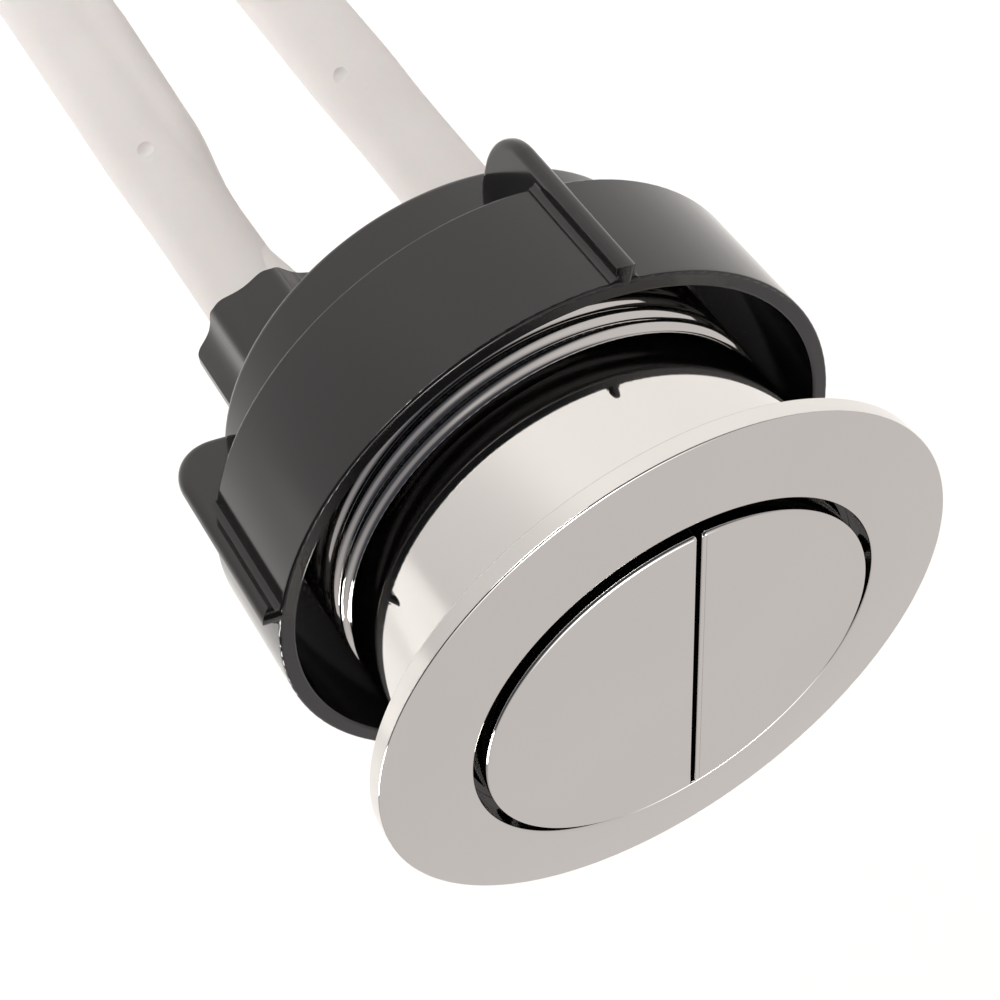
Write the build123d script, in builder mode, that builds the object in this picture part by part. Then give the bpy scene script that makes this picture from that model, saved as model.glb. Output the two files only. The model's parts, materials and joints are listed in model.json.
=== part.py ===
from build123d import *

import os
from math import cos, radians, sin, sqrt

# Dual-flush push button for a cistern lid.
# Lengths are in millimetres. The Z axis is the button's axis and points up out of the lid.
# The origin is on that axis, at the height of the flange's seat on the lid.
# The full-flush button stands on the +X side and the half-flush button on the -X side.

# Bezel
flange_diameter = 58.5
flange_edge = 1.75
face_rise = 0.95
rim_round = 0.15
hole_round = 0.15
lip_depth = 0.6
lip_width = 1.0
barrel_diameter = 46.0
barrel_wall = 1.35
barrel_lead = 0.4
thread_start = 15.55
thread_depth = 0.5

# Button caps
cap_gap = 0.95
split_gap = 0.45
split_offset = 1.5
cap_proud = 0.55
cap_top = 1.6
cap_wall = 1.4
cap_height = 4.6
cap_corner = 0.5
cap_round = 0.25

# Plungers
press_travel = 8.0
carrier_edge = 1.2
screen_wall = 1.6
screen_overlap = 2.0
stem_wall = 1.05
leg_angle = 50.0
leg_width = 5.0
leg_thickness = 1.6
barb_height = 2.8
barb_land = 0.7

# Guide cup
cup_wall = 1.55
ledge_depth = 25.25
ledge_step = 0.75
floor_play = 1.4
floor_thickness = 2.5
base_thickness = 1.05
base_lip = 0.75
boss_wall = 1.1
boss_height = 3.8

# Winged lock nut
lid_gap = 16.65
thread_gap = 0.35
hub_wall = 1.05
hub_length = 9.6
hub_round = 0.8
skirt_gap = 3.5
skirt_wall = 1.6
skirt_length = 13.9
web_thickness = 1.8
wing_count = 4
wing_angle = -13.75
wing_height = 1.75
wing_thickness = 1.8
wing_length = 22.1
wing_corner = 5.0
wing_round = 0.8
wing_foot = 0.6
edge_round = 0.3

# Return springs
spring_wire = 0.8
spring_turns = 6.0
spring_play = 0.3
spring_cup_gap = 0.45

# Rod nuts
rod_nut_gap = 2.0
rod_nut_length = 13.2
rod_nut_wall = 0.9
rod_nut_end = 4.0
rod_nut_round = 0.6
lobe_count = 7
lobe_angle = 3.1
lobe_rise = 1.1

# Push rods
rod_diameter = 10.1
neck_diameter = 9.5
rod_insertion = 28.5
rod_reach = 134.75
rod_chamfer = 0.8
rib_radius = 3.4
rib_hollow = 4.0
rib_start = 0.05
ramp_rise = 1.25
rib_rise = 1.95
foot_rise = 1.4
foot_height = 10.0
waist_length = 7.0
ramp_length = 15.0
ramp_steps = 4
taper_length = 20.0
dimple_diameter = 2.4
dimple_depth = 0.45
dimple_drop = 26.65

# Clearances between pieces
seat_clearance = 0.05
running_clearance = 0.1
snap_clearance = 0.1
stem_end_gap = 1.0
moving_clearance = 0.3

# Bezel and caps: radii and heights that follow from the sizes above
flange_radius = flange_diameter / 2
barrel_radius = barrel_diameter / 2
barrel_bore = barrel_radius - barrel_wall
root_radius = barrel_radius - thread_depth
cup_radius = barrel_bore - seat_clearance
cup_inside = cup_radius - cup_wall
hole_radius = barrel_bore - lip_width
face_top = flange_edge + face_rise
cap_radius = hole_radius - cap_gap
cap_level = face_top + cap_proud
cap_underside = cap_level - cap_top
cap_foot = cap_level - cap_height

# Plungers, springs and their places beside the axis
neck_radius = neck_diameter / 2
stem_bore = neck_radius + running_clearance
stem_radius = stem_bore + stem_wall
spring_radius = stem_radius + spring_play + spring_wire / 2
rod_offset = cup_inside - spring_cup_gap - spring_radius - spring_wire / 2
carrier_radius = cap_radius - seat_clearance
carrier_top = cap_foot - seat_clearance
carrier_foot = carrier_top - carrier_edge
plate_inset = cap_wall + seat_clearance
screen_foot = cap_level - press_travel - screen_overlap
barb_top = -ledge_depth - snap_clearance
leg_foot = barb_top - barb_height

# Guide cup, barrel and lock nut
cup_front = -lip_depth - seat_clearance
cup_recess = cup_inside + ledge_step
floor_level = leg_foot - press_travel - floor_play
cup_rear = floor_level - floor_thickness
barrel_rear = cup_rear + base_thickness + seat_clearance
base_radius = cup_radius + base_lip
guide_bore = stem_radius + running_clearance
boss_top = floor_level + boss_height
nut_rim = -lid_gap
skirt_rear = nut_rim - skirt_length
web_front = skirt_rear + web_thickness
nut_bore = barrel_radius + thread_gap
hub_radius = nut_bore + hub_wall
hub_rear = skirt_rear - hub_length
skirt_inside = hub_radius + skirt_gap
skirt_radius = skirt_inside + skirt_wall
wing_radius = skirt_radius + wing_height
wing_rear = nut_rim - wing_length

# Rod nuts and rods
rod_nut_front = cup_rear - rod_nut_gap
rod_nut_rear = rod_nut_front - rod_nut_length
stem_foot = rod_nut_rear + rod_nut_end + stem_end_gap
grip_radius = guide_bore + rod_nut_wall
lobe_crest = grip_radius + lobe_rise
rod_top = stem_foot + rod_insertion
rod_foot = rod_nut_rear - rod_reach
rod_radius = rod_diameter / 2
foot_offset = neck_radius + foot_rise - rib_radius
sunk_offset = neck_radius - moving_clearance - rib_radius
foot_top = rod_nut_rear - snap_clearance
waist_top = foot_top - foot_height
ramp_top = waist_top - waist_length
ramp_foot = ramp_top - ramp_length
taper_foot = ramp_foot - taper_length
dimple_ball = (dimple_diameter**2 / 4 + dimple_depth**2) / (2 * dimple_depth)

# The two flush sides: name, direction of the button from the axis,
# and the way that the rod's rib and its ejector dimple face
sides = (("full", 1), ("half", -1))
rib_angles = {"full": 202, "half": 125}
dimple_angles = {"full": -75, "half": -54}


def radial_plane(angle):
    # Upright plane through the axis: local X points outwards and local Y points up
    outwards = (cos(radians(angle)), sin(radians(angle)), 0)
    across = (sin(radians(angle)), -cos(radians(angle)), 0)
    return Plane(origin=(0, 0, 0), x_dir=outwards, z_dir=across)


def half_moon(radius, direction, inset):
    # Disc cut along the split line, which lies off-centre towards the half-flush side
    flat = -split_offset + direction * (split_gap / 2 + inset)
    Circle(radius)
    with Locations((flat + direction * radius, 0)):
        Rectangle(2 * radius, 4 * radius, mode=Mode.INTERSECT)


def dome_height(radius):
    # Height of the bezel's face, part of a large sphere centred on the axis
    drop = flange_radius**2 - hole_radius**2
    centre = (face_top**2 - flange_edge**2 - drop) / (2 * face_rise)
    return centre + sqrt(flange_radius**2 + (flange_edge - centre) ** 2 - radius**2)


os.makedirs("parts", exist_ok=True)

# Bezel: domed flange with a lip round the buttons, and a barrel that is smooth in front
# and carries the lock nut's thread behind, all in one plated moulding
with BuildPart() as bezel:
    with BuildSketch(Plane.XZ) as bezel_section:
        with BuildLine():
            face_middle = (flange_radius + hole_radius) / 2
            ThreePointArc(
                (flange_radius, flange_edge),
                (face_middle, dome_height(face_middle)),
                (hole_radius, face_top),
            )
            Polyline(
                (hole_radius, face_top),
                (hole_radius, -lip_depth),
                (barrel_bore, -lip_depth),
                (barrel_bore, barrel_rear),
                (root_radius, barrel_rear),
                (root_radius, -thread_start - thread_depth),
                (barrel_radius, -thread_start),
                (barrel_radius, 0),
                (flange_radius, 0),
                (flange_radius, flange_edge),
            )
        make_face()
        hole_crest = bezel_section.vertices().sort_by(Axis.Y)[-1]
        fillet(hole_crest, hole_round)
        flange_corner = bezel_section.vertices().group_by(Axis.X)[-1].sort_by(Axis.Y)[-1]
        fillet(flange_corner, rim_round)
        barrel_corner = bezel_section.vertices().group_by(Axis.Y)[0].sort_by(Axis.X)[-1]
        chamfer(barrel_corner, barrel_lead)
    revolve(axis=Axis.Z)
bezel.part.label = "bezel"
export_step(bezel.part, "parts/bezel.step")

# Button caps: hollow half-moon shells with softened upper edges
for side, direction in sides:
    with BuildPart() as button_cap:
        with BuildSketch(Plane.XY.offset(cap_foot)) as cap_outline:
            half_moon(cap_radius, direction, 0)
            fillet(cap_outline.vertices(), cap_corner)
        extrude(amount=cap_height)
        fillet(button_cap.faces().sort_by(Axis.Z)[-1].edges(), cap_round)
        with BuildSketch(Plane.XY.offset(cap_foot)):
            half_moon(cap_radius - cap_wall, direction, cap_wall)
        extrude(amount=cap_height - cap_top, mode=Mode.SUBTRACT)
    button_cap.part.label = f"{side}_button_cap"
    export_step(button_cap.part, f"parts/{side}_button_cap.step")

# Plungers: a stepped carrier that fills the cap, a screen wall along the split,
# a tubular stem for the rod and two snap legs that hook under the guide cup's ledge
barb_tip = cup_recess - moving_clearance
leg_inside = carrier_radius - leg_thickness
for side, direction in sides:
    stem_place = (direction * rod_offset, 0)
    with BuildPart() as plunger:
        with BuildSketch(Plane.XY.offset(carrier_foot)):
            half_moon(carrier_radius, direction, seat_clearance)
        extrude(amount=carrier_edge)
        with BuildSketch(Plane.XY.offset(carrier_top)):
            half_moon(cap_radius - plate_inset, direction, plate_inset)
        extrude(amount=cap_underside - carrier_top)
        with BuildSketch(Plane.XY.offset(screen_foot)):
            half_moon(carrier_radius, direction, seat_clearance)
            half_moon_flat = -split_offset + direction * (split_gap / 2 + seat_clearance)
            with Locations((half_moon_flat, 0)):
                Rectangle(2 * screen_wall, 2 * carrier_radius, mode=Mode.INTERSECT)
        extrude(amount=carrier_foot - screen_foot)
        with BuildSketch(Plane.XY.offset(stem_foot)):
            with Locations(stem_place):
                Circle(stem_radius)
        extrude(amount=carrier_foot - stem_foot)
        with BuildSketch(Plane.XY.offset(stem_foot)):
            with Locations(stem_place):
                Circle(stem_bore)
        extrude(amount=rod_insertion + running_clearance, mode=Mode.SUBTRACT)
        middle_angle = 90 - 90 * direction
        for leg in (middle_angle - leg_angle, middle_angle + leg_angle):
            with BuildSketch(radial_plane(leg)):
                with BuildLine():
                    Polyline(
                        (leg_inside, carrier_foot + carrier_edge / 2),
                        (carrier_radius, carrier_foot + carrier_edge / 2),
                        (carrier_radius, barb_top),
                        (barb_tip, barb_top),
                        (barb_tip, barb_top - barb_land),
                        (carrier_radius, leg_foot),
                        (leg_inside, leg_foot),
                        close=True,
                    )
                make_face()
            extrude(amount=leg_width / 2, both=True)
    plunger.part.label = f"{side}_plunger"
    export_step(plunger.part, f"parts/{side}_plunger.step")

# Guide cup: pushed into the barrel from behind until its base meets the barrel's end,
# with a ledge for the snap legs and two guide bosses for the stems on its floor
with BuildPart() as guide_cup:
    with BuildSketch(Plane.XZ):
        with BuildLine():
            Polyline(
                (cup_inside, cup_front),
                (cup_radius, cup_front),
                (cup_radius, cup_rear + base_thickness),
                (base_radius, cup_rear + base_thickness),
                (base_radius, cup_rear),
                (0, cup_rear),
                (0, floor_level),
                (cup_recess, floor_level),
                (cup_recess, -ledge_depth),
                (cup_inside, -ledge_depth),
                close=True,
            )
        make_face()
    revolve(axis=Axis.Z)
    stem_places = [(direction * rod_offset, 0) for side, direction in sides]
    with BuildSketch(Plane.XY.offset(floor_level)):
        with Locations(*stem_places):
            Circle(guide_bore + boss_wall)
    extrude(amount=boss_height)
    with BuildSketch(Plane.XY.offset(cup_rear)):
        with Locations(*stem_places):
            Circle(guide_bore)
    extrude(amount=floor_thickness + boss_height, mode=Mode.SUBTRACT)
guide_cup.part.label = "guide_cup"
export_step(guide_cup.part, "parts/guide_cup.step")

# Thumb wing of the lock nut: a rib along the skirt and down to the hub behind it
with BuildPart() as wing_blade:
    with BuildSketch(Plane.XZ) as wing_side:
        with BuildLine():
            Polyline(
                (skirt_inside + skirt_wall / 2, nut_rim),
                (wing_radius, nut_rim),
                (wing_radius, wing_rear),
                (hub_radius - hub_wall / 2, wing_rear),
                (hub_radius - hub_wall / 2, skirt_rear + web_thickness / 2),
                (skirt_inside + skirt_wall / 2, skirt_rear + web_thickness / 2),
                close=True,
            )
        make_face()
        rear_corner = wing_side.vertices().group_by(Axis.X)[-1].sort_by(Axis.Y)[0]
        fillet(rear_corner, wing_corner)
    extrude(amount=wing_thickness / 2, both=True)
    outer_edges = wing_blade.faces().filter_by(Axis.Y).edges().filter_by(
        lambda edge: edge.center().X > skirt_radius
        or (edge.center().Z < skirt_rear and edge.center().X > hub_radius)
    )
    fillet(outer_edges, wing_round)
    with BuildSketch(Plane.XY.offset(skirt_rear)):
        with BuildLine():
            foot_inside = skirt_inside + skirt_wall / 2
            foot_half = wing_thickness / 2 + wing_foot
            foot_edge = sqrt(skirt_radius**2 - foot_half**2)
            hollow = wing_foot * (1 - sqrt(0.5))
            Polyline(
                (foot_edge, -foot_half),
                (foot_inside, -foot_half),
                (foot_inside, foot_half),
                (foot_edge, foot_half),
            )
            ThreePointArc(
                (foot_edge, foot_half),
                (foot_edge + hollow, wing_thickness / 2 + hollow),
                (foot_edge + wing_foot, wing_thickness / 2),
            )
            Line((foot_edge + wing_foot, wing_thickness / 2), (foot_edge + wing_foot, -wing_thickness / 2))
            ThreePointArc(
                (foot_edge + wing_foot, -wing_thickness / 2),
                (foot_edge + hollow, -wing_thickness / 2 - hollow),
                (foot_edge, -foot_half),
            )
        make_face()
    extrude(amount=skirt_length - edge_round)

# Lock nut: cup-shaped skirt, web, hub with the thread's bore, and thumb wings
with BuildPart() as lock_nut:
    with BuildSketch(Plane.XZ) as nut_section:
        with BuildLine():
            Polyline(
                (skirt_inside, nut_rim),
                (skirt_radius, nut_rim),
                (skirt_radius, skirt_rear),
                (hub_radius, skirt_rear),
                (hub_radius, hub_rear),
                (nut_bore, hub_rear),
                (nut_bore, web_front),
                (skirt_inside, web_front),
                close=True,
            )
        make_face()
        hub_corner = nut_section.vertices().group_by(Axis.Y)[0].sort_by(Axis.X)[-1]
        fillet(hub_corner, hub_round)
        fillet(nut_section.vertices().group_by(Axis.Y)[-1], edge_round)
        skirt_corner = nut_section.vertices().group_by(Axis.X)[-1].sort_by(Axis.Y)[0]
        fillet(skirt_corner, edge_round)
    revolve(axis=Axis.Z)
    with PolarLocations(0, wing_count, start_angle=wing_angle):
        add(wing_blade.part)
lock_nut.part.label = "lock_nut"
export_step(lock_nut.part, "parts/lock_nut.step")

# Return springs: coils round the stems, between the guide bosses and the carriers
coil_foot = boss_top + seat_clearance + spring_wire / 2
coil_height = carrier_foot - boss_top - 2 * seat_clearance - spring_wire
for side, direction in sides:
    coil_place = (direction * rod_offset, 0, coil_foot)
    with BuildPart() as return_spring:
        with BuildLine() as coil:
            Helix(coil_height / spring_turns, coil_height, spring_radius, center=coil_place)
        with BuildSketch(Plane(origin=coil.line @ 0, z_dir=coil.line % 0)):
            Circle(spring_wire / 2)
        sweep(path=coil.line, is_frenet=True)
    return_spring.part.label = f"{side}_return_spring"
    export_step(return_spring.part, f"parts/{side}_return_spring.step")

# Rod nuts: fluted grips that screw onto the stems and close round the rods.
# The grip's outline is one closed wave from crest to valley.
for side, direction in sides:
    nut_place = (direction * rod_offset, 0)
    wave_points = []
    for step in range(2 * lobe_count):
        wave_angle = radians(lobe_angle + 180 * step / lobe_count)
        wave_radius = lobe_crest if step % 2 == 0 else grip_radius
        wave_points.append((wave_radius * cos(wave_angle), wave_radius * sin(wave_angle)))
    with BuildPart() as rod_nut:
        with BuildSketch(Plane((*nut_place, rod_nut_rear), (1, 0, 0), (0, 0, 1))):
            with BuildLine():
                Spline(*wave_points, periodic=True)
            make_face()
        extrude(amount=rod_nut_length)
        with BuildSketch(Plane((*nut_place, 0), (1, 0, 0), (0, -1, 0))) as rounded_end:
            with BuildLine():
                Polyline(
                    (0, rod_nut_rear),
                    (lobe_crest + seat_clearance, rod_nut_rear),
                    (lobe_crest + seat_clearance, rod_nut_front),
                    (0, rod_nut_front),
                    close=True,
                )
            make_face()
            rear_corner = rounded_end.vertices().group_by(Axis.Y)[0].sort_by(Axis.X)[-1]
            fillet(rear_corner, rod_nut_round)
        revolve(axis=Axis((*nut_place, 0), (0, 0, 1)), mode=Mode.INTERSECT)
        with BuildSketch(Plane.XY.offset(rod_nut_rear + rod_nut_end)):
            with Locations(nut_place):
                Circle(guide_bore)
        extrude(amount=rod_nut_length - rod_nut_end, mode=Mode.SUBTRACT)
        with BuildSketch(Plane.XY.offset(rod_nut_rear)):
            with Locations(nut_place):
                Circle(stem_bore)
        extrude(amount=rod_nut_end, mode=Mode.SUBTRACT)
    rod_nut.part.label = f"{side}_rod_nut"
    export_step(rod_nut.part, f"parts/{side}_rod_nut.step")

# Push rods: a neck that slides in the stem and a slightly thicker body with a rib down one
# side, which starts as a stop foot, leaves a waist and rises again down a long ramp
for side, direction in sides:
    rod_x = direction * rod_offset
    rib_angle = radians(rib_angles[side])
    rib_way = (cos(rib_angle), sin(rib_angle), 0)
    ramp = []
    for step in range(ramp_steps + 1):
        share = step / ramp_steps
        rise = share**2 * (3 - 2 * share)
        height = ramp_top - ramp_length * share
        radius = neck_radius + (rod_radius - neck_radius) * rise
        reach = radius + rib_start + (ramp_rise - rib_start) * rise
        ramp.append((height, radius, reach))
    taper = (ramp[-1], (taper_foot, rod_radius, rod_radius + rib_rise))
    with BuildPart() as push_rod:
        with BuildSketch(Plane((rod_x, 0, ramp_top), (1, 0, 0), (0, 0, 1))):
            Circle(neck_radius)
        extrude(amount=rod_top - ramp_top)
        chamfer(push_rod.faces().sort_by(Axis.Z)[-1].edges(), rod_chamfer)
        for stretch in (ramp, taper):
            for height, radius, reach in stretch:
                with BuildSketch(Plane((rod_x, 0, height), rib_way, (0, 0, 1))) as rod_outline:
                    Circle(radius)
                    with Locations((reach - rib_radius, 0)):
                        Circle(rib_radius)
                    fillet(rod_outline.vertices().sort_by(Axis.X)[:2], rib_hollow)
            loft()
        with BuildSketch(Plane((rod_x, 0, taper_foot), rib_way, (0, 0, 1))):
            add(rod_outline.sketch_local)
        extrude(amount=rod_foot - taper_foot)
        chamfer(push_rod.faces().sort_by(Axis.Z)[0].edges(), rod_chamfer)
        for height, offset in ((foot_top, foot_offset), (waist_top, sunk_offset)):
            with BuildSketch(Plane((rod_x, 0, height), rib_way, (0, 0, 1))):
                with Locations((offset, 0)):
                    Circle(rib_radius)
        loft()
        dimple_reach = rod_radius + dimple_ball - dimple_depth
        dimple_angle = radians(dimple_angles[side])
        dimple_place = (
            rod_x + dimple_reach * cos(dimple_angle),
            dimple_reach * sin(dimple_angle),
            rod_nut_rear - dimple_drop,
        )
        with Locations(dimple_place):
            Sphere(dimple_ball, mode=Mode.SUBTRACT)
    push_rod.part.label = f"{side}_push_rod"
    export_step(push_rod.part, f"parts/{side}_push_rod.step")
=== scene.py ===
import json
from math import cos, hypot, pi, radians, sqrt

import bmesh
import bpy
from mathutils import Euler, Matrix, Vector


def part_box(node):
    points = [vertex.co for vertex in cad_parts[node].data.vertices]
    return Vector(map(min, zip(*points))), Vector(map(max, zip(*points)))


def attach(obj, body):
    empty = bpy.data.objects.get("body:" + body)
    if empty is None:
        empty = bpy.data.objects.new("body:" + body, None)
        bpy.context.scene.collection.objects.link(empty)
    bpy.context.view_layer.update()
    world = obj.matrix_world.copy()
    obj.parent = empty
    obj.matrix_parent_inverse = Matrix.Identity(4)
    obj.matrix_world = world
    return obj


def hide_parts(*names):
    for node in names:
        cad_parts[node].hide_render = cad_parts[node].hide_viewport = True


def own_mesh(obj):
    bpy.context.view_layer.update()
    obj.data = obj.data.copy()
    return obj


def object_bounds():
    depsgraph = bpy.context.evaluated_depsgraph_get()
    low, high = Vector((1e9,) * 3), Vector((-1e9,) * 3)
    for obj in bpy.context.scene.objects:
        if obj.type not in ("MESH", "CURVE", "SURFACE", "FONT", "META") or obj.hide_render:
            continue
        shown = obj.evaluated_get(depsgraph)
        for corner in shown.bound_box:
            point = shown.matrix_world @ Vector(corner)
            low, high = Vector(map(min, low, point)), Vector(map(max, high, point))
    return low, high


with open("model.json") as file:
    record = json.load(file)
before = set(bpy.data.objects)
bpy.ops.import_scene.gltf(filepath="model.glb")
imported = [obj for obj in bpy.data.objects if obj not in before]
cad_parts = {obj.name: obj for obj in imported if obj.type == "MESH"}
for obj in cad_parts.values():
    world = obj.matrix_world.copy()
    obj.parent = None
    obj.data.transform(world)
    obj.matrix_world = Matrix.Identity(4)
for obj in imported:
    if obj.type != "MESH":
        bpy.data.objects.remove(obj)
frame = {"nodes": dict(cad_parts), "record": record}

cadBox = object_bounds()
nodes = frame["nodes"]
mm = 0.001
nearly = 1e-7  # metres: points closer than this are one point
print("frame loaded:", len(nodes), "nodes")


# Shader maths: a wrapped socket that works in sums and products and can be fed to other nodes

class Wire:
    def __init__(self, tree, socket=None):
        self.tree = tree
        self.socket = socket

    def node(self, kind, settings, feeds, out=0):
        made = self.tree.nodes.new(kind)
        for name, value in settings.items():
            setattr(made, name, value)
        for name, value in feeds.items():
            if isinstance(value, Wire):
                self.tree.links.new(value.socket, made.inputs[name])
            else:
                made.inputs[name].default_value = value
        return Wire(self.tree, made.outputs[out])

    def maths(self, operation, a, b):
        return self.node("ShaderNodeMath", {"operation": operation}, {0: a, 1: b})

    def __add__(self, other):
        return self.maths("ADD", self, other)

    def __sub__(self, other):
        return self.maths("SUBTRACT", self, other)

    def __rsub__(self, other):
        return self.maths("SUBTRACT", other, self)

    def __mul__(self, other):
        return self.maths("MULTIPLY", self, other)

    __radd__ = __add__
    __rmul__ = __mul__


def newFinish(name, fixed):
    finish = bpy.data.materials.new(name)
    finish.use_nodes = True
    shader = finish.node_tree.nodes["Principled BSDF"]
    for socket, value in fixed.items():
        shader.inputs[socket].default_value = value
    return finish, Wire(finish.node_tree), shader


def feed(wire, shader, socket):
    wire.tree.links.new(wire.socket, shader.inputs[socket])


def grain(wire, place, scale, detail):
    return wire.node(
        "ShaderNodeTexNoise", {"noise_dimensions": "3D"},
        {"Vector": place, "Scale": scale, "Detail": detail},
    )


def mixColours(wire, amount, first, second):
    # by number, because the node's sockets share their names: 6 and 7 are the colours, 2 is their mix
    return wire.node(
        "ShaderNodeMix", {"data_type": "RGBA"}, {0: amount, 6: first, 7: second}, out=2,
    )


def ramp(wire, value, low, high):
    # 0 below low, 1 above high, and a smooth step between
    return wire.node(
        "ShaderNodeMapRange", {"interpolation_type": "SMOOTHSTEP"},
        {"Value": value, "From Min": low, "From Max": high},
    )


def bump(wire, height, strength, distance):
    return wire.node(
        "ShaderNodeBump", {}, {"Height": height, "Strength": strength, "Distance": distance},
    )


def objectPlace(wire):
    return wire.node("ShaderNodeTexCoord", {}, {}, out="Object")


# Finishes

chromeLook = {
    "bright": (0.745, 0.732, 0.705, 1), "dull": (0.70, 0.688, 0.662, 1),
    "smudgeScale": 55, "smudgeDetail": 3, "roughness": 0.025, "smudge": 0.035,
    "peelScale": 500, "peelDetail": 1, "peelStrength": 0.04, "peelDepth": 0.00001,
}


def makeChrome():
    finish, wire, shader = newFinish("chromePlating", {"Metallic": 1.0})
    place = objectPlace(wire)
    smudge = grain(wire, place, chromeLook["smudgeScale"], chromeLook["smudgeDetail"])
    peel = grain(wire, place, chromeLook["peelScale"], chromeLook["peelDetail"])
    feed(mixColours(wire, 1 - smudge, chromeLook["dull"], chromeLook["bright"]), shader, "Base Color")
    feed(smudge * chromeLook["smudge"] + chromeLook["roughness"], shader, "Roughness")
    feed(bump(wire, peel, chromeLook["peelStrength"], chromeLook["peelDepth"]), shader, "Normal")
    return finish


blackLook = {
    "deep": (0.004, 0.004, 0.0045, 1), "worn": (0.010, 0.0095, 0.009, 1), "ior": 1.55,
    "flowScale": 90, "flowDetail": 4, "roughness": 0.07, "spread": 0.07,
    "skinScale": 3000, "skinDetail": 2, "skinStrength": 0.06, "skinDepth": 0.00002,
}


def makeBlackMoulding():
    finish, wire, shader = newFinish("blackMoulding", {"IOR": blackLook["ior"]})
    place = objectPlace(wire)
    flow = grain(wire, place, blackLook["flowScale"], blackLook["flowDetail"])
    skin = grain(wire, place, blackLook["skinScale"], blackLook["skinDetail"])
    feed(mixColours(wire, flow, blackLook["deep"], blackLook["worn"]), shader, "Base Color")
    feed(flow * blackLook["spread"] + blackLook["roughness"], shader, "Roughness")
    feed(bump(wire, skin, blackLook["skinStrength"], blackLook["skinDepth"]), shader, "Normal")
    return finish


whiteLook = {
    "clean": (0.74, 0.715, 0.70, 1), "shade": (0.66, 0.63, 0.615, 1), "ior": 1.5,
    "glow": 0.15, "glowDepth": 0.002,
    "cloudScale": 70, "cloudDetail": 3, "roughness": 0.40, "spread": 0.15,
    "skinScale": 1400, "skinDetail": 3, "skinStrength": 0.15, "skinDepth": 0.00005,
}


def makeWhiteRod():
    finish, wire, shader = newFinish("offWhiteMoulding", {
        "IOR": whiteLook["ior"],
        "Subsurface Weight": whiteLook["glow"], "Subsurface Scale": whiteLook["glowDepth"],
    })
    place = objectPlace(wire)
    cloud = grain(wire, place, whiteLook["cloudScale"], whiteLook["cloudDetail"])
    skin = grain(wire, place, whiteLook["skinScale"], whiteLook["skinDetail"])
    feed(mixColours(wire, cloud, whiteLook["clean"], whiteLook["shade"]), shader, "Base Color")
    feed(cloud * whiteLook["spread"] + whiteLook["roughness"], shader, "Roughness")
    feed(bump(wire, skin, whiteLook["skinStrength"], whiteLook["skinDepth"]), shader, "Normal")
    return finish


wireLook = {
    "bright": (0.60, 0.60, 0.60, 1), "dark": (0.33, 0.33, 0.34, 1),
    "drawScale": 900, "drawDetail": 4, "roughness": 0.22, "spread": 0.2,
    "strength": 0.2, "depth": 0.00002,
}


def makeSpringWire():
    finish, wire, shader = newFinish("springWire", {"Metallic": 1.0})
    drawn = grain(wire, objectPlace(wire), wireLook["drawScale"], wireLook["drawDetail"])
    feed(mixColours(wire, drawn, wireLook["dark"], wireLook["bright"]), shader, "Base Color")
    feed(drawn * wireLook["spread"] + wireLook["roughness"], shader, "Roughness")
    feed(bump(wire, drawn, wireLook["strength"], wireLook["depth"]), shader, "Normal")
    return finish


chrome = makeChrome()
springSteel = makeSpringWire()
finishOfSlot = {
    "chrome": chrome, "black_plastic": makeBlackMoulding(),
    "white_plastic": makeWhiteRod(), "spring_steel": springSteel,
}
for subpart in frame["record"]["subparts"]:
    mesh = nodes[subpart["node"]].data
    mesh.materials.clear()
    mesh.materials.append(finishOfSlot[subpart["material_slot"]])
print("finishes set")


# New pieces

def newPiece(name, shape, finish, body, sharpAngle=40):
    bmesh.ops.remove_doubles(shape, verts=shape.verts, dist=nearly)
    bmesh.ops.recalc_face_normals(shape, faces=shape.faces)
    for face in shape.faces:
        face.smooth = True
    mesh = bpy.data.meshes.new(name)
    shape.to_mesh(mesh)
    shape.free()
    mesh.set_sharp_from_angle(angle=radians(sharpAngle))
    mesh.materials.append(finish)
    piece = bpy.data.objects.new(name, mesh)
    bpy.context.scene.collection.objects.link(piece)
    steady = piece.modifiers.new("flatFacesStayFlat", "WEIGHTED_NORMAL")
    steady.keep_sharp = True
    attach(piece, body)
    return piece


def closeEnds(shape):
    bmesh.ops.holes_fill(shape, edges=[edge for edge in shape.edges if edge.is_boundary])


# Bezel: a section with rounded corners, spun about the axis. Sizes in mm
bezel = {
    "edge": 1.75, "rise": 0.95, "rimRound": 0.15, "footRound": 0.12,  # flange
    "hole": 20.65, "holeRound": 0.25, "lip": 0.6,  # hole for the caps
    "barrel": 23.0, "bore": 21.65, "root": 22.5, "threadStart": 15.55, "lead": 0.4,  # barrel
    "domeSteps": 8, "roundSteps": 10, "segments": 288,
}


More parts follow.
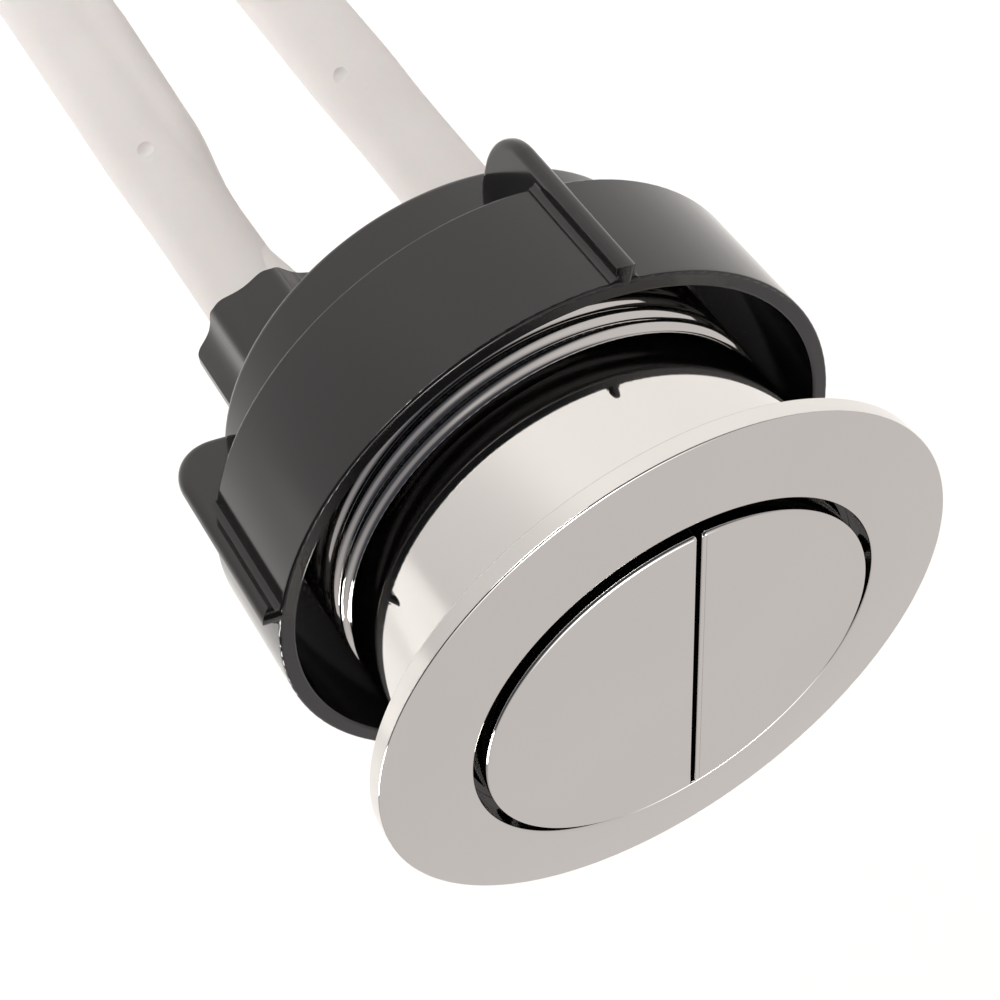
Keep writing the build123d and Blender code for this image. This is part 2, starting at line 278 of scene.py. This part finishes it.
def makeBezel():
    low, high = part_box("bezel")
    flange, rear = high.x / mm, low.z / mm
    hole, edge, top = bezel["hole"], bezel["edge"], bezel["edge"] + bezel["rise"]
    # the top is part of a sphere through the flange's rim and the edge of the hole
    centre = (top**2 - edge**2 - flange**2 + hole**2) / (2 * bezel["rise"])
    sphere = hypot(flange, edge - centre)
    section = [(flange, 0)]
    for step in range(bezel["domeSteps"] + 1):
        radius = flange + (hole - flange) * step / bezel["domeSteps"]
        section.append((radius, centre + sqrt(sphere**2 - radius**2)))
    section += [
        (hole, -bezel["lip"]), (bezel["bore"], -bezel["lip"]), (bezel["bore"], rear),
        (bezel["root"] - bezel["lead"], rear), (bezel["root"], rear + bezel["lead"]),
        (bezel["root"], -bezel["threadStart"] - bezel["barrel"] + bezel["root"]),
        (bezel["barrel"], -bezel["threadStart"]), (bezel["barrel"], 0),
    ]
    shape = bmesh.new()
    corners = [shape.verts.new((r * mm, 0, z * mm)) for r, z in section]
    shape.faces.new(corners)
    rounds = (
        (corners[0], bezel["footRound"]), (corners[1], bezel["rimRound"]),
        (corners[1 + bezel["domeSteps"]], bezel["holeRound"]),
    )
    for corner, radius in rounds:
        bmesh.ops.bevel(
            shape, geom=[corner], affect="VERTICES", offset=radius * mm, offset_type="OFFSET",
            segments=bezel["roundSteps"], profile=0.5, material=-1, clamp_overlap=True,
        )
    bmesh.ops.delete(shape, geom=list(shape.faces), context="FACES_ONLY")
    bmesh.ops.spin(
        shape, geom=list(shape.verts) + list(shape.edges), cent=(0, 0, 0), axis=(0, 0, 1),
        angle=2 * pi, steps=bezel["segments"], use_merge=True, use_duplicate=False,
    )
    piece = newPiece("platedBezel", shape, chrome, "housing")
    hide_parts("bezel")


# Thread on the barrel: one wave-shaped ridge wound from the smooth part to the barrel's end.
# Sizes in mm, angles in degrees
thread = {
    "crest": 23.2, "sunk": 0.15, "pitch": 1.8, "startAngle": 110, "startHeight": -16.95,
    "turns": 11.5, "steps": 144, "waveSteps": 14, "sharpAngle": 75,
}


def makeThread():
    shape = bmesh.new()
    root, half = bezel["root"], thread["pitch"] / 2
    rise = thread["crest"] - root
    ring = [shape.verts.new((root - thread["sunk"], 0, z)) for z in (half, -half)]
    for step in range(thread["waveSteps"] + 1):
        across = -half + thread["pitch"] * step / thread["waveSteps"]
        height = rise * (1 + cos(pi * across / half)) / 2
        ring.append(shape.verts.new((root + height, 0, across)))
    edges = [shape.edges.new((ring[i - 1], ring[i])) for i in range(len(ring))]
    turn = Matrix.Rotation(radians(thread["startAngle"]), 3, "Z")
    bmesh.ops.rotate(shape, verts=shape.verts, cent=(0, 0, 0), matrix=turn)
    bmesh.ops.translate(shape, verts=shape.verts, vec=(0, 0, thread["startHeight"]))
    bmesh.ops.spin(
        shape, geom=ring + edges, cent=(0, 0, 0), axis=(0, 0, -1),
        dvec=(0, 0, -thread["pitch"] / thread["steps"]), angle=2 * pi * thread["turns"],
        steps=round(thread["turns"] * thread["steps"]), use_merge=False, use_duplicate=False,
    )
    closeEnds(shape)
    bmesh.ops.scale(shape, verts=shape.verts, vec=(mm, mm, mm))
    newPiece("barrelThread", shape, chrome, "housing", sharpAngle=thread["sharpAngle"])


# Caps: half-moon shells with softened edges. Sizes in mm
cap = {
    "radius": 19.7, "split": -1.5, "splitGap": 0.45, "wall": 1.4, "top": 1.6,
    "corner": 0.5, "round": 0.35, "roundSteps": 6, "segments": 288,
}


def makeCap(side, direction):
    low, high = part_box(side + "_button_cap")
    flat = (cap["split"] + direction * cap["splitGap"] / 2) * mm
    shape = bmesh.new()
    bmesh.ops.create_circle(
        shape, cap_ends=True, radius=cap["radius"] * mm, segments=cap["segments"],
        matrix=Matrix.Translation((0, 0, high.z)),
    )
    bmesh.ops.bisect_plane(
        shape, geom=list(shape.verts) + list(shape.edges) + list(shape.faces), dist=nearly,
        plane_co=(flat, 0, 0), plane_no=(-direction, 0, 0), clear_outer=True,
    )
    tips = [vert for vert in shape.verts if abs(vert.co.x - flat) < 10 * nearly]
    bmesh.ops.bevel(
        shape, geom=tips, affect="VERTICES", offset=cap["corner"] * mm, offset_type="OFFSET",
        segments=cap["roundSteps"], profile=0.5, material=-1,
    )
    # the sides go down from the crown, and the hollow goes up again from the foot
    sides = bmesh.ops.extrude_face_region(shape, geom=shape.faces[:])["geom"]
    lowered = [item for item in sides if isinstance(item, bmesh.types.BMVert)]
    foot = [item for item in sides if isinstance(item, bmesh.types.BMFace)]
    bmesh.ops.translate(shape, verts=lowered, vec=(0, 0, low.z - high.z))
    topEdges = [
        edge for edge in shape.edges if all(abs(vert.co.z - high.z) < nearly for vert in edge.verts)
    ]
    bmesh.ops.inset_region(shape, faces=foot, thickness=cap["wall"] * mm, use_even_offset=True)
    hollow = bmesh.ops.extrude_face_region(shape, geom=foot)["geom"]
    lifted = [item for item in hollow if isinstance(item, bmesh.types.BMVert)]
    bmesh.ops.delete(shape, geom=foot, context="FACES_ONLY")
    bmesh.ops.translate(shape, verts=lifted, vec=(0, 0, high.z - low.z - cap["top"] * mm))
    bmesh.ops.bevel(
        shape, geom=topEdges, affect="EDGES", offset=cap["round"] * mm, offset_type="OFFSET",
        segments=cap["roundSteps"], profile=0.5, material=-1,
    )
    piece = newPiece(side + "PlatedCap", shape, chrome, side + "_button")
    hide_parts(side + "_button_cap")


makeBezel()
makeThread()
makeCap("full", 1)
makeCap("half", -1)
print("plated pieces made")


# Return springs: open coils with a flat coil at each end
spring = {
    "wire": 0.8 * mm, "play": 0.3 * mm, "stem": 5.9 * mm, "turns": 5, "endTurns": 1,
    "steps": 48, "round": 12, "seat": -33.75 * mm, "travel": 8 * mm,
}


def makeSpring(side):
    low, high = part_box(side + "_return_spring")
    place = (low.x + high.x) / 2
    radius = spring["stem"] + spring["play"] + spring["wire"] / 2
    endRise = spring["wire"] * spring["endTurns"]
    openRise = (high.z - low.z) - spring["wire"] - 2 * endRise
    shape = bmesh.new()
    upright = Matrix.Rotation(pi / 2, 4, "X")
    ring = bmesh.ops.create_circle(
        shape, segments=spring["round"], radius=spring["wire"] / 2, cap_ends=False,
        matrix=Matrix.Translation((radius, 0, low.z + spring["wire"] / 2)) @ upright,
    )["verts"]
    geom = ring + list(shape.edges)
    stretches = (
        (spring["endTurns"], endRise), (spring["turns"], openRise), (spring["endTurns"], endRise),
    )
    for turns, rise in stretches:
        count = turns * spring["steps"]
        spun = bmesh.ops.spin(
            shape, geom=geom, cent=(0, 0, 0), axis=(0, 0, 1), dvec=(0, 0, rise / count),
            angle=2 * pi * turns, steps=count, use_merge=False, use_duplicate=False,
        )
        geom = spun["geom_last"]
    closeEnds(shape)
    bmesh.ops.translate(shape, verts=shape.verts, vec=(place, 0, 0))
    piece = newPiece(side + "ReturnSpring", shape, springSteel, "housing")
    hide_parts(side + "_return_spring")
    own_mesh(piece)


makeSpring("full")
makeSpring("half")
print("springs wound")


# Floor, light and camera

stage = {
    "floorDrop": 0.012, "floorSize": 6.0, "paper": (0.93, 0.925, 0.915, 1), "roughness": 0.9,
}


def makeFloor():
    shape = bmesh.new()
    bmesh.ops.create_grid(
        shape, x_segments=1, y_segments=1, size=stage["floorSize"] / 2,
        matrix=Matrix.Translation((0, 0, cadBox[0][2] - stage["floorDrop"])),
    )
    mesh = bpy.data.meshes.new("studioFloor")
    shape.to_mesh(mesh)
    shape.free()
    paper = {"Base Color": stage["paper"], "Roughness": stage["roughness"]}
    mesh.materials.append(newFinish("studioPaper", paper)[0])
    floor = bpy.data.objects.new("studioFloor", mesh)
    bpy.context.scene.collection.objects.link(floor)


# Soft light from the sky behind the object, and a dim room on the camera's side
sky = {
    "bright": (0.715, 0.677, 0.670, 1), "dim": (0.060, 0.062, 0.075, 1),
    "brightSide": (-0.50, 0.58, 0.64), "dimBelow": -0.10, "brightAbove": 0.50, "strength": 1.0,
}


def makeSky():
    world = bpy.data.worlds.new("studioSky")
    world.use_nodes = True
    wire = Wire(world.node_tree)
    background = world.node_tree.nodes["Background"]
    direction = wire.node("ShaderNodeTexCoord", {}, {}, out="Generated")
    towards = wire.node(
        "ShaderNodeVectorMath", {"operation": "DOT_PRODUCT"},
        {0: direction, 1: sky["brightSide"]}, out="Value",
    )
    amount = ramp(wire, towards, sky["dimBelow"], sky["brightAbove"])
    feed(mixColours(wire, amount, sky["dim"], sky["bright"]), background, "Color")
    background.inputs["Strength"].default_value = sky["strength"]
    bpy.context.scene.world = world


# Lamps: places and sizes in metres, power in watts, turn and spread in degrees
lamps = {
    "floorPanel": {  # the pool of light behind the object
        "place": (-0.151, 0.455, 0.30), "target": (-0.151, 0.455, 0), "size": (1.0, 1.9),
        "power": 2.0, "colour": (1, 0.985, 0.945), "turn": -18.3, "spread": 25,
    },
    "roomPanel": {  # overhead, for an even floor from every side
        "place": (0, 0.2, 1.6), "target": (0, 0.2, 0), "size": (4.0, 4.0),
        "power": 14.5, "colour": (1, 0.99, 0.965), "turn": 0, "spread": 60,
    },
    "cornerPanel": {  # lifts the patch of floor that one end of the barrel mirrors
        "place": (0.35, 0.08, 0.30), "target": (0.35, 0.08, 0), "size": (0.14, 0.2),
        "power": 0.045, "colour": (1, 0.985, 0.94), "turn": -18.3, "spread": 10,
    },
    "sidePanel": {  # towards the rods from one side
        "place": (0.55, 0.42, 0.05), "target": (0, 0, -0.10), "size": (0.25, 0.25),
        "power": 0.2, "colour": (1, 0.98, 0.96), "turn": 0, "spread": 50,
    },
    "lowPanel": {  # towards the rods from near the floor in front
        "place": (0.36, -0.60, -0.155), "target": (0, 0, -0.12), "size": (0.5, 0.07),
        "power": 0.25, "colour": (1, 0.98, 0.96), "turn": 0, "spread": 50,
    },
}


def makeLamp(name, lamp):
    data = bpy.data.lights.new(name, "AREA")
    data.spread = radians(lamp["spread"])
    data.shape = "RECTANGLE"
    data.size, data.size_y = lamp["size"]
    data.energy = lamp["power"]
    data.color = lamp["colour"]
    panel = bpy.data.objects.new(name, data)
    panel.location = lamp["place"]
    aim = (Vector(lamp["target"]) - Vector(lamp["place"])).to_track_quat("-Z", "Y").to_matrix()
    panel.rotation_euler = (aim @ Matrix.Rotation(radians(lamp["turn"]), 3, "Z")).to_euler()
    bpy.context.scene.collection.objects.link(panel)


# Camera: place and range in metres, turn in degrees, lens and sensor in mm
camera = {
    "place": (53.84 * mm, -148.51 * mm, 83.66 * mm), "turn": (-49.7645, -29.5959, 175.9707),
    "lens": 72.0, "sensor": 36.0, "nearest": 0.005, "farthest": 20,
}


def makeCamera():
    data = bpy.data.cameras.new("photoCamera")
    data.lens = camera["lens"]
    data.sensor_width = camera["sensor"]
    data.clip_start = camera["nearest"]
    data.clip_end = camera["farthest"]
    eye = bpy.data.objects.new("photoCamera", data)
    turn = Euler([radians(angle) for angle in camera["turn"]]).to_matrix().to_4x4()
    eye.matrix_world = Matrix.Translation(camera["place"]) @ turn
    bpy.context.scene.collection.objects.link(eye)
    bpy.context.scene.camera = eye


makeFloor()
makeSky()
for name, lamp in lamps.items():
    makeLamp(name, lamp)
makeCamera()
bpy.context.scene.view_settings.view_transform = "Standard"
print("studio set")
